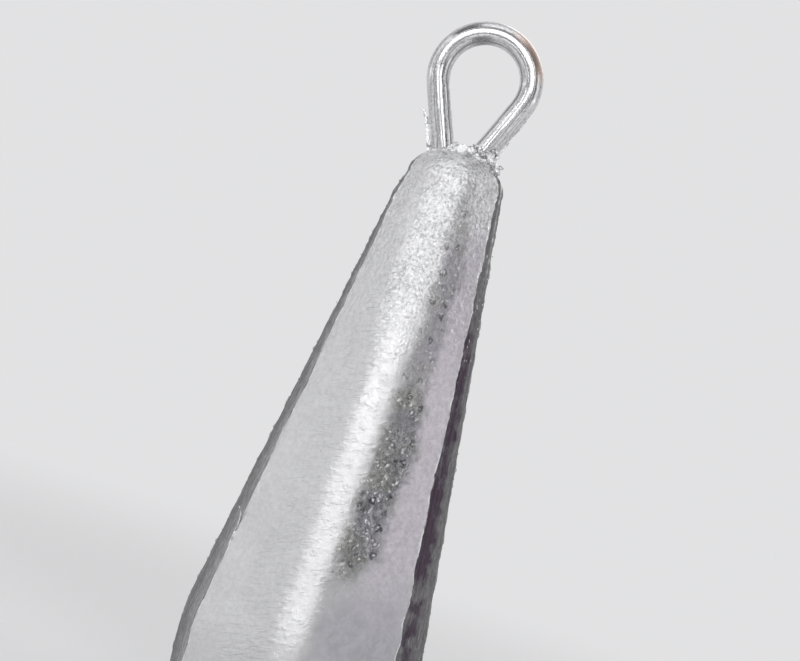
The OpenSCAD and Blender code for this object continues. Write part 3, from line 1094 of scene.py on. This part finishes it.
class SINKER_OT_crown_burr(bpy.types.Operator):
    """Model the torn flake at the end of the flash on the crown's +X shoulder"""

    bl_idname = "sinker.crown_burr"
    bl_label = "Crown Burr"

    # The flake's root and its torn edge, from top to bottom, in millimetres: distance from the axis
    # and height above the crown
    ROOT = (Vector((2.10, -0.55)), Vector((2.45, -0.85)), Vector((2.80, -1.20)))
    EDGE = (
        Vector((2.62, -0.22)), Vector((2.95, -0.08)), Vector((3.50, 0.02)), Vector((3.22, -0.20)),
        Vector((3.10, -0.34)), Vector((3.52, -0.48)), Vector((3.30, -0.72)), Vector((3.15, -0.88)),
    )
    # How far its root and its torn edge stand in front of the parting plane, and how far it buckles
    FRONT = (-0.10, -0.40)
    BUCKLE = 0.16
    WALL = 0.26
    SEGMENTS = 24

    def execute(self, context):
        crown = context.scene.sinker_casting.crown / MM
        bm = bmesh.new()
        for vert, out, up in add_sheet(bm, self.SEGMENTS, self.SEGMENTS):
            down = 1.0 - up
            x, z = between_points(self.ROOT, down).lerp(between_points(self.EDGE, down), out)
            y = mix(*self.FRONT, out) + self.BUCKLE * streaks(down * 4.0, out * 2.0, 3.0)
            vert.co = Vector((x, y, crown + z)) * MM
        make_flash("crown_burr", bm, self.WALL, (0.30, 0.13, 21.0), (0.13, 0.05, 23.0))
        return {"FINISHED"}


# Finishes

GRAIN_OUTPUTS = ("Tone", "Glints", "Height")
# The colour of the shade painted in pits, round bubbles, in folds, undercuts and the web's groove
PAINTED_SHADE = (0.04, 0.04, 0.045)
# How the wrinkles lean: they run level where this mix of X and Z, in millimetres, stays the same
WRINKLE_LEAN = (-0.9, 0.0, 2.7)


class Value:
    """An output in a node tree. Arithmetic on it adds the nodes that work out the result"""

    def __init__(self, nodes, socket):
        self.nodes, self.socket = nodes, socket

    def __add__(self, other):
        return self.nodes.sums("ADD", self, other)

    def __sub__(self, other):
        return self.nodes.sums("SUBTRACT", self, other)

    def __rsub__(self, other):
        return self.nodes.sums("SUBTRACT", other, self)

    def __mul__(self, other):
        return self.nodes.sums("MULTIPLY", self, other)

    def __abs__(self):
        return self.nodes.sums("ABSOLUTE", self)

    def swing(self, size):
        """A value from 0 to 1 as a swing round zero."""
        return (self - 0.5) * size

    def step(self, low, high, to_low=0.0, to_high=1.0):
        """A soft step, from one range to another."""
        feeds = {0: self, 1: low, 2: high, 3: to_low, 4: to_high}
        return self.nodes.add("MapRange", feeds, interpolation_type="SMOOTHSTEP")


class Nodes:
    """A node tree, with short ways to add the nodes that the finishes are made of"""

    def __init__(self, tree):
        self.tree = tree

    def feed(self, entry, value):
        """Joins a value to an input, or sets the input's own value."""
        if isinstance(value, Value):
            self.tree.links.new(value.socket, entry)
        else:
            entry.default_value = value

    def add(self, kind, feeds, *outputs, **settings):
        """Adds a node, feeds its inputs and gives the outputs that are asked for, or else its first."""
        node = self.tree.nodes.new("ShaderNode" + kind)
        for name, setting in settings.items():
            setattr(node, name, setting)
        for name, value in feeds.items():
            self.feed(node.inputs[name], value)
        values = [Value(self, node.outputs[output]) for output in outputs or (0,)]
        return values if len(values) > 1 else values[0]

    def sums(self, operation, first, second=0.0):
        """One sum of two values."""
        return self.add("Math", {0: first, 1: second}, operation=operation)

    def most(self, first, *others):
        """The highest of some values."""
        for other in others:
            first = self.sums("MAXIMUM", first, other)
        return first

    def noisy(self, vector, scale, detail=2.0, roughness=0.5, distortion=0.0):
        """Noise from 0 to 1, with a scale per unit of the vector."""
        feeds = {"Vector": vector, "Scale": scale, "Detail": detail, "Roughness": roughness}
        return self.add("TexNoise", {**feeds, "Distortion": distortion})

    def cells(self, vector, scale, chosen_from, chosen_to):
        """The distance from the middles of round cells, and a mask of the ones that are chosen."""
        near, cell = self.add("TexVoronoi", {"Vector": vector, "Scale": scale}, "Distance", "Color")
        return near, self.add("SeparateColor", {0: cell}).step(chosen_from, chosen_to)

    def tinted(self, part, first, second, mode="MIX"):
        """Two colours mixed by a part."""
        first, second = (v if isinstance(v, Value) else (*v, 1.0) for v in (first, second))
        return self.add("Mix", {0: part, 6: first, 7: second}, 2, data_type="RGBA", blend_type=mode)

    def shaded(self, colour_now, shade):
        """A colour made lighter or darker by a shade."""
        return self.tinted(1.0, colour_now, shade, "MULTIPLY")

    def stretched(self, vector, scale):
        """A vector stretched along its axes."""
        return self.add("VectorMath", {0: vector, 1: scale}, operation="MULTIPLY")

    def place(self):
        """The place on the object, in metres."""
        return self.add("TexCoord", {}, "Object")

    def millimetres(self):
        """The place on the object, in millimetres."""
        return self.stretched(self.place(), [1.0 / MM] * 3)

    def marks(self):
        """The marks that the casting's skin stores, by name."""
        found = {}
        for layer, names in MARKS.items():
            stored, alpha = self.add("Attribute", {}, "Color", "Alpha", attribute_name=layer)
            channels = self.add("SeparateColor", {0: stored}, 0, 1, 2)
            found.update(zip(names, (*channels, alpha)))
        return found

    def grained(self, place, coarse):
        """The tone, the glint specks painted as highlights, and the relief of the lead's fine grain."""
        feeds = {"Place": place, "Coarse": coarse}
        return self.add("Group", feeds, *GRAIN_OUTPUTS, node_tree=cast_grain())


class Finish(Nodes):
    """A new material with its shader, still without a colour"""

    def __init__(self, name, metallic):
        self.material = bpy.data.materials.new(name)
        self.material.use_nodes = True
        super().__init__(self.material.node_tree)
        self.shader = self.tree.nodes["Principled BSDF"]
        self.dress({"Metallic": metallic})

    def dress(self, feeds):
        """Feeds inputs of the shader."""
        for name, value in feeds.items():
            self.feed(self.shader.inputs[name], value)

    def relief(self, height):
        """The shader's normal for a height in millimetres."""
        return self.add("Bump", {"Height": height, "Distance": MM})


def toned(value, tone):
    """A colour made darker, or lighter up to white."""
    return [min(1.0, channel * tone) for channel in value]


def cast_grain():
    """The shared skin of cast lead: the tone of its crystals, its glint specks, painted as highlights, and
    the height of its fine grain in millimetres. Coarse runs from 0 for a smooth skin to 1."""
    if "Cast Grain" in bpy.data.node_groups:
        return bpy.data.node_groups["Cast Grain"]
    tree = bpy.data.node_groups.new("Cast Grain", "ShaderNodeTree")
    sockets = [("Place", "INPUT", "Vector"), ("Coarse", "INPUT", "Float")]
    for name, way, kind in sockets + [(name, "OUTPUT", "Float") for name in GRAIN_OUTPUTS]:
        tree.interface.new_socket(name=name, in_out=way, socket_type="NodeSocket" + kind)
    n = Nodes(tree)
    entry = tree.nodes.new("NodeGroupInput").outputs
    leave = tree.nodes.new("NodeGroupOutput").inputs
    place, coarse = Value(n, entry["Place"]), Value(n, entry["Coarse"])
    fine = n.noisy(place, 2.6, 4.0, 0.62)
    micro = n.noisy(place, 9.0, 2.0, 0.55)
    near, chosen = n.cells(place, 1.9, 0.44, 0.52)
    glint_specks = near.step(0.27, 0.08) * chosen
    height = (fine - 0.5) * coarse.step(0.0, 1.0, 0.02, 0.25)
    height = height + micro * coarse.step(0.0, 1.0, 0.004, 0.018) + glint_specks * coarse * 0.03
    for name, value in zip(GRAIN_OUTPUTS, (fine * 0.65 + micro * 0.35, glint_specks, height)):
        n.feed(leave[name], value)
    return tree


def bubbled(n, place):
    """Burst bubbles in the oxide: masks for their middles, painted as highlights, and for the broken rings
    round them, painted as shade.
    """
    wobble = n.add("TexNoise", {"Vector": place, "Scale": 2.4, "Detail": 1.0}, "Color")
    bent = n.add("VectorMath", {0: wobble, 1: (0.5, 0.5, 0.5), 2: place}, operation="MULTIPLY_ADD")
    near, chosen = n.cells(bent, 0.9, 0.42, 0.48)
    broken = n.noisy(place, 2.8, 1.0).step(0.38, 0.52)
    ring = near.step(0.38, 0.25) * near.step(0.10, 0.20) * chosen * broken
    return near.step(0.18, 0.08) * chosen, ring


def cast_lead(k):
    """Cast lead: satin skin with painted glints, the pitted band and haze painted as shade, a painted lilac
    reflection, painted plum shade, scraped flats painted dark as shade, and painted shade and highlights.
    """
    n = Finish("Cast Lead", 0.92)
    place = n.millimetres()
    m = n.marks()
    coarse, pitting_and_shade, plum_shade = m["coarse"], m["pitting_and_shade"], m["plum_shade"]
    tone, glint_specks, grain_height = n.grained(place, coarse)
    cloud = n.noisy(place, 0.24, 3.0, 0.5)
    patchy = n.noisy(place, 1.25, 4.0, 0.6, 0.6)
    middles, rings = bubbled(n, place)

    # The skin: clean, then coarse with painted glints, then the painted lilac reflection and haze shade
    clean = n.tinted(cloud.step(0.3, 0.7), toned(k.lead, 0.94), k.lead)
    clean = n.shaded(clean, tone.step(0.34, 0.66, 0.93, 1.05))
    # Painted highlights and shade: the coarse skin's pebbles go near white with darker gaps between
    grains = n.noisy(place, 4.0, 4.0, 0.7) + patchy.swing(0.35)
    glinting_pebbles = n.tinted(grains.step(0.34, 0.60), toned(k.lead, 0.76), toned(k.lead, 1.5))
    colour_now = n.tinted(coarse.step(0.15, 1.0) * 0.9, clean, glinting_pebbles)
    # A painted lilac reflection on the shaded face
    lilac_reflected = m["lilac_reflection"] * patchy.step(0.25, 0.7, 0.55, 1.0) * 0.92
    colour_now = n.tinted(lilac_reflected, colour_now, n.shaded(k.lilac_reflection, tone.step(0.36, 0.64, 0.84, 1.10)))
    # Painted shade low on the shaded face, in a bluish grey
    haze_shaded = n.shaded(k.haze_shade, patchy.step(0.3, 0.7, 0.88, 1.10))
    colour_now = n.tinted(m["haze_shade"] * 0.88, colour_now, haze_shaded)

    # The pitted band of oxide, painted darker as shade
    pitting_and_shade_mask = (pitting_and_shade + patchy.swing(1.1) + tone.swing(0.7)).step(0.0, 0.95) * pitting_and_shade.step(0.0, 0.4)
    pitted_shade_tone = n.tinted(n.noisy(place, 0.35, 2.0, 0.5).step(0.4, 0.6), k.violet_oxide_shade, k.olive_oxide_shade)
    shade = tone.step(0.36, 0.64, 0.62, 1.42) * patchy.step(0.3, 0.7, 0.76, 1.28)
    colour_now = n.tinted(pitting_and_shade_mask, colour_now, n.shaded(pitted_shade_tone, shade))

    # The scraped flats, with strokes down them, painted dark as shade towards the seam, and plum shade on
    # them
    strokes = n.noisy(n.stretched(place, (3.6, 3.6, 0.45)), 1.0, 4.0, 0.6)
    frayed = m["border"].swing(BORDER_RANGE) + n.noisy(place, 1.7, 3.0, 0.6).swing(0.36)
    scraped = frayed.step(-0.04, 0.05)
    # Painted shade: the flats go darker towards the seam and on the shaded side
    seam_darkening = (m["seam_shade"] + patchy.swing(0.7)).step(0.0, 0.75)
    shade = strokes.step(0.3, 0.7, 0.68, 1.25) + tone.swing(1.7)
    scraped_shade_tone = n.shaded(n.tinted(seam_darkening, k.scraped, k.tarnish_and_shade), shade)
    colour_now = n.tinted(scraped, colour_now, scraped_shade_tone)
    plum_shading = plum_shade + n.noisy(place, 0.6, 4.0, 0.6, 0.2).swing(3.0) + tone.swing(0.8)
    plum_shading = plum_shading.step(-0.1, 0.75) * plum_shade.step(0.0, 0.3) * scraped
    colour_now = n.tinted(plum_shading * 0.94, colour_now, k.plum_shade)

    # Painted shade: pits, the rings of bubbles, folds, the web's groove and the undercut inside the scraped
    # border go dark
    undercut_shade = abs(frayed - 0.20).step(0.20, 0.02) * patchy.step(0.36, 0.6, 0.1, 0.6)
    painted_hollow_shade = n.most(m["hollow_shade"] * 0.7, rings * pitting_and_shade_mask * 0.75, undercut_shade)
    colour_now = n.tinted(painted_hollow_shade, colour_now, PAINTED_SHADE)

    # Painted highlights: beads, bubble middles, thin wisps, the torn lip, glint specks and edges go near
    # white
    wisp_highlights = abs(n.noisy(place, 0.9, 2.0, 0.5, 1.8).swing(1.0)).step(0.022, 0.004)
    wisp_highlights = wisp_highlights * pitting_and_shade_mask * patchy.step(0.46, 0.58, 0.0, 0.7)
    lip = abs(frayed).step(0.14, 0.05) * n.noisy(place, 0.9, 2.0).step(0.42, 0.58, 0.05, 1.0)
    painted_highlights = n.most(
        m["bead"], middles * pitting_and_shade_mask, wisp_highlights, lip, glint_specks * coarse.step(0.2, 0.7, 0.0, 1.0), m["edge"],
    )
    colour_now = n.tinted(painted_highlights * 0.8, colour_now, k.bright)
    rough = patchy.step(0.25, 0.75, 0.42, 0.52) - coarse * 0.13 - painted_highlights * 0.10 + painted_hollow_shade * 0.2

    # Wrinkles that lean across the face, strokes on the scraped flats, and bubbles
    leaning = n.add("VectorMath", {0: place, 1: WRINKLE_LEAN}, "Value", operation="DOT_PRODUCT")
    sheared = n.add("CombineXYZ", {0: n.add("SeparateXYZ", {0: place}), 2: leaning})
    where = n.most(patchy.step(0.42, 0.64) * 0.55, m["wrinkled"]) * (1.0 - scraped)
    wrinkles = n.noisy(sheared, 0.85, 2.0, 0.55, 0.35).step(0.38, 0.66) * where * 0.045
    blisters = (middles - rings) * pitting_and_shade_mask * 0.09
    relief = n.relief(grain_height + wrinkles + strokes * scraped * 0.035 + blisters)
    n.dress({"Base Color": colour_now, "Roughness": rough, "Normal": relief})
    return n.material


def flash_lead(k):
    """Thin torn flash: lead painted in patches of highlight and shade, with painted glint specks."""
    if "Flash Lead" in bpy.data.materials:
        return bpy.data.materials["Flash Lead"]
    n = Finish("Flash Lead", 0.95)
    place = n.millimetres()
    tone, glint_specks, grain_height = n.grained(place, 0.8)
    patchy = n.noisy(place, 2.2, 3.0, 0.6)
    # Painted highlight and shade: patches of near-white and dark lead
    colour_now = n.tinted(patchy.step(0.38, 0.54), toned(k.lead, 0.60), toned(k.lead, 1.5))
    colour_now = n.tinted(glint_specks * 0.8, colour_now, k.bright)
    rough = tone.step(0.3, 0.7, 0.24, 0.42)
    n.dress({"Base Color": colour_now, "Roughness": rough, "Normal": n.relief(grain_height)})
    return n.material


# Dark reflection lines painted along the wire, each with a faint groove: place across it from -1 outside
# the eye to 1 inside it, half width as a share of the wire's radius, and -1 on the front or 1 on the back
PAINTED_REFLECTION_LINES = (
    (0.16, 0.045, -1), (-0.32, 0.030, -1), (0.78, 0.030, -1), (0.30, 0.04, 1), (-0.40, 0.035, 1),
)
# The warm tint and the worn patch on the eye: turn round it from +X, distance from its middle past
# its radius and place in front of the parting plane as shares of the wire's radius, and the outer
# and inner radius of the patch in millimetres
WARM_PATCH = (44.0, 1.0, 0.0, 3.2, 1.4)
WORN_PATCH = (111.0, -0.55, -0.85, 1.45, 0.25)


def eye_patch(n, middle, w, turn, out, forward, far, near):
    """A soft patch on the eye, from one of the rows above."""
    turn, radius = math.radians(turn), w.diameter / 2
    reach = w.eye_radius + out * radius
    spot = middle + Vector((math.cos(turn) * reach, forward * radius, math.sin(turn) * reach))
    distance = n.add("VectorMath", {0: n.place(), 1: spot}, "Value", operation="DISTANCE")
    return distance.step(far * MM, near * MM)


def drawn_steel(k, middle, w):
    """Bright drawn wire: fine lines along it and dark reflection lines painted along it, mottled spots, a
    worn patch at the top of the eye and a warm tint on its outer bend."""
    n = Finish("Drawn Steel", 1.0)
    spot = n.add("Attribute", {}, "Vector", attribute_name="drawn")
    inward, backward = n.add("SeparateXYZ", {0: spot}, "X", "Y")
    lines = n.noisy(n.stretched(spot, (9.0, 9.0, 0.35)), 1.0, 4.0, 0.6)
    spotted = n.noisy(spot, 5.0, 3.0, 0.65)
    tone = lines * 0.6 + spotted * 0.4
    colour_now = n.tinted(tone.step(0.36, 0.62), toned(k.steel, 0.55), toned(k.steel, 1.25))

    wander = n.noisy(n.stretched(spot, (0.0, 0.0, 0.16)), 1.0).swing(0.30)
    reflection_line_masks = []
    for place_across, half_width, side in PAINTED_REFLECTION_LINES:
        off = abs(inward + wander - place_across)
        line = off.step(half_width * 1.6, half_width * 0.7)
        reflection_line_masks.append(line * backward.step(0.0, 0.3 * side))
    # Painted reflection: dark lines along the wire where dark reflections would lie
    reflection_lines = n.most(*reflection_line_masks) * spotted.step(0.38, 0.5, 0.35, 1.0)
    colour_now = n.tinted(reflection_lines * 0.8, colour_now, toned(k.steel, 0.22))

    patch = n.noisy(spot, 0.55, 2.0, 0.5).step(0.25, 0.5, 0.6, 1.0)
    warmed = eye_patch(n, middle, w, *WARM_PATCH) * inward.step(-0.25, -0.6) * patch
    colour_now = n.tinted(warmed * 0.85, colour_now, k.warm)
    rubbed = eye_patch(n, middle, w, *WORN_PATCH) * (inward + spotted.swing(0.5)).step(0.10, 0.55)
    speckled = rubbed * n.noisy(spot, 9.0, 3.0, 0.7).step(0.42, 0.56)
    colour_now = n.tinted(rubbed * 0.45, colour_now, toned(k.steel, 0.62))
    colour_now = n.tinted(speckled * 0.85, colour_now, toned(k.steel, 0.30))

    rough = tone.step(0.3, 0.7, 0.22, 0.11) + warmed * 0.12 + rubbed * 0.25
    height = lines * 0.012 + spotted * 0.006 + speckled * 0.03 - reflection_lines * 0.012
    n.dress({"Base Color": colour_now, "Roughness": rough, "Normal": n.relief(height)})
    return n.material


# Studio

def seen_rays(n):
    """1 for rays from the camera and from mirrors and glass, 0 for the rest."""
    return n.most(*n.add("LightPath", {}, "Is Camera Ray", "Is Glossy Ray", "Is Transmission Ray"))


class SINKER_OT_stage(bpy.types.Operator):
    """Set up the pale floor, the soft lamps and the camera"""

    bl_idname = "sinker.stage"
    bl_label = "Studio"

    FLOOR_RADIUS = 3.0
    FLOOR_SIDES = 96
    # The floor's darker and lighter grain against the backdrop, its roughness and its shine
    FLOOR_TONES = (1.03, 1.07)
    FLOOR_ROUGHNESS = 0.8
    FLOOR_SHINE = 0.15
    # Distances from the sinker between which the floor fades into the backdrop, in metres
    FADE = (0.07, 0.22)
    # Lamps: name, azimuth towards +X and elevation in degrees, distance, width and height in metres,
    # and radiance
    LAMPS = (
        ("front_lamp", -6.0, 24.0, 0.42, 0.56, 0.22, 2.75),
        ("left_lamp", -76.0, 18.0, 0.42, 0.34, 0.34, 0.8),
        ("right_lamp", 76.0, 16.0, 0.50, 0.28, 0.32, 0.9),
        ("top_lamp", 0.0, 82.0, 0.55, 0.45, 0.45, 1.0),
        ("back_lamp", 168.0, 32.0, 0.55, 0.30, 0.25, 1.2),
    )
    # The nearest and the farthest thing that the camera sees, as shares of its distance
    CLIP = (0.1, 40.0)

    def execute(self, context):
        studio = context.scene.sinker_studio
        self.floor(studio)
        self.world(context.scene, studio)
        for lamp in self.LAMPS:
            self.lamp(*lamp)
        self.camera(context.scene, studio)
        context.scene.view_settings.view_transform = "Standard"
        return {"FINISHED"}

    def floor(self, studio):
        """A round pale floor whose far part fades into the backdrop."""
        bm = bmesh.new()
        bmesh.ops.create_circle(bm, cap_ends=True, segments=self.FLOOR_SIDES, radius=self.FLOOR_RADIUS)
        mesh = bpy.data.meshes.new("studio_floor")
        bm.to_mesh(mesh)
        bm.free()
        floor = bpy.data.objects.new("studio_floor", mesh)
        bpy.context.scene.collection.objects.link(floor)
        n = Finish("Studio Floor", 0.0)
        paper = n.noisy(n.millimetres(), 0.8, 3.0, 0.5)
        colour_now = n.tinted(paper, *(toned(studio.backdrop, tone) for tone in self.FLOOR_TONES))
        n.dress({
            "Base Color": colour_now,
            "Roughness": self.FLOOR_ROUGHNESS,
            "Specular IOR Level": self.FLOOR_SHINE,
        })
        far = n.add("VectorMath", {0: n.place()}, "Value", operation="LENGTH")
        backdrop = n.add("Emission", {"Color": (*studio.backdrop, 1.0), "Strength": 1.0})
        skin = Value(n, n.shader.outputs[0])
        faded = n.add("MixShader", {0: far.step(*self.FADE) * seen_rays(n), 1: skin, 2: backdrop})
        n.feed(n.tree.nodes["Material Output"].inputs["Surface"], faded)
        mesh.materials.append(n.material)

    def world(self, scene, studio):
        """The backdrop all round for the camera, dimmer on the camera's side for the metal's mirror, and
        a soft ambient light for the rest."""
        world = bpy.data.worlds.new("Studio")
        world.use_nodes = True
        scene.world = world
        n = Nodes(world.node_tree)
        depth = n.add("SeparateXYZ", {0: n.add("TexCoord", {}, "Generated")}, "Y")
        mirrored = n.tinted(depth.step(-0.3, 0.7), studio.room, studio.backdrop)
        seen = n.tinted(n.add("LightPath", {}, "Is Camera Ray"), mirrored, studio.backdrop)
        colour_now = n.tinted(seen_rays(n), studio.ambient, seen)
        n.feed(n.tree.nodes["Background"].inputs["Color"], colour_now)

    def lamp(self, name, azimuth, elevation, distance, width, height, radiance):
        """A soft rectangular lamp aimed at the sinker's middle, from one of the rows above."""
        light = bpy.data.lights.new(name, "AREA")
        light.shape = "RECTANGLE"
        light.size, light.size_y = width, height
        light.energy = radiance * math.pi * width * height
        lamp = bpy.data.objects.new(name, light)
        azimuth, elevation = math.radians(azimuth), math.radians(elevation)
        out = Vector((
            math.sin(azimuth) * math.cos(elevation),
            -math.cos(azimuth) * math.cos(elevation),
            math.sin(elevation),
        ))
        lamp.location = (cad_box[0] + cad_box[1]) / 2 + out * distance
        lamp.rotation_euler = out.to_track_quat("Z", "Y").to_euler()
        bpy.context.scene.collection.objects.link(lamp)

    def camera(self, scene, studio):
        """The camera, level with the picture's middle and rolled so that the sinker leans to the right."""
        camera = bpy.data.cameras.new("camera")
        camera.lens = studio.lens
        distance = studio.field * camera.lens / camera.sensor_width
        camera.clip_start, camera.clip_end = (part * distance for part in self.CLIP)
        viewer = bpy.data.objects.new("camera", camera)
        back = Vector((math.sin(studio.azimuth), -math.cos(studio.azimuth), 0.0))
        side = Vector((math.cos(studio.azimuth), math.sin(studio.azimuth), 0.0))
        aim = side * studio.aim_side + Vector((0.0, 0.0, studio.aim_up))
        upright = back.to_track_quat("Z", "Y").to_matrix()
        turned = Matrix.Rotation(studio.roll, 3, back) @ upright
        viewer.matrix_world = Matrix.Translation(aim + back * distance) @ turned.to_4x4()
        scene.collection.objects.link(viewer)
        scene.camera = viewer


# Add-on

OPERATORS = (
    SINKER_OT_casting,
    SINKER_OT_wire,
    SINKER_OT_leg_web,
    SINKER_OT_root_collars,
    SINKER_OT_crumbs,
    SINKER_OT_slivers,
    SINKER_OT_crown_burr,
    SINKER_OT_stage,
)
GROUPS = {
    "sinker_casting": SinkerCasting,
    "sinker_skin": SinkerSkin,
    "sinker_wire": SinkerWire,
    "sinker_colours": SinkerColours,
    "sinker_studio": SinkerStudio,
}


class SINKER_PT_panel(bpy.types.Panel):
    """The sinker's pieces, in the order in which they are made"""

    bl_idname = "SINKER_PT_panel"
    bl_label = "Cast Fishing Sinker"
    bl_space_type = "VIEW_3D"
    bl_region_type = "UI"
    bl_category = "Sinker"

    def draw(self, context):
        for operator in OPERATORS:
            self.layout.operator(operator.bl_idname)
        for name, group in GROUPS.items():
            box = self.layout.box()
            box.label(text=group.__doc__)
            for field in group.__annotations__:
                box.prop(getattr(context.scene, name), field)


def register():
    """Registers the classes and gives the scene its properties."""
    for group in GROUPS.values():
        bpy.utils.register_class(group)
    for operator in OPERATORS:
        bpy.utils.register_class(operator)
    bpy.utils.register_class(SINKER_PT_panel)
    for name, group in GROUPS.items():
        setattr(bpy.types.Scene, name, PointerProperty(type=group))


def unregister():
    """Takes away what register added."""
    for name in GROUPS:
        delattr(bpy.types.Scene, name)
    bpy.utils.unregister_class(SINKER_PT_panel)
    for operator in reversed(OPERATORS):
        bpy.utils.unregister_class(operator)
    for group in GROUPS.values():
        bpy.utils.unregister_class(group)


def main():
    """Makes every piece and the studio."""
    register()
    for operator in OPERATORS:
        piece_group, piece = operator.bl_idname.split(".")
        getattr(getattr(bpy.ops, piece_group), piece)()


if __name__ == "__main__":
    main()
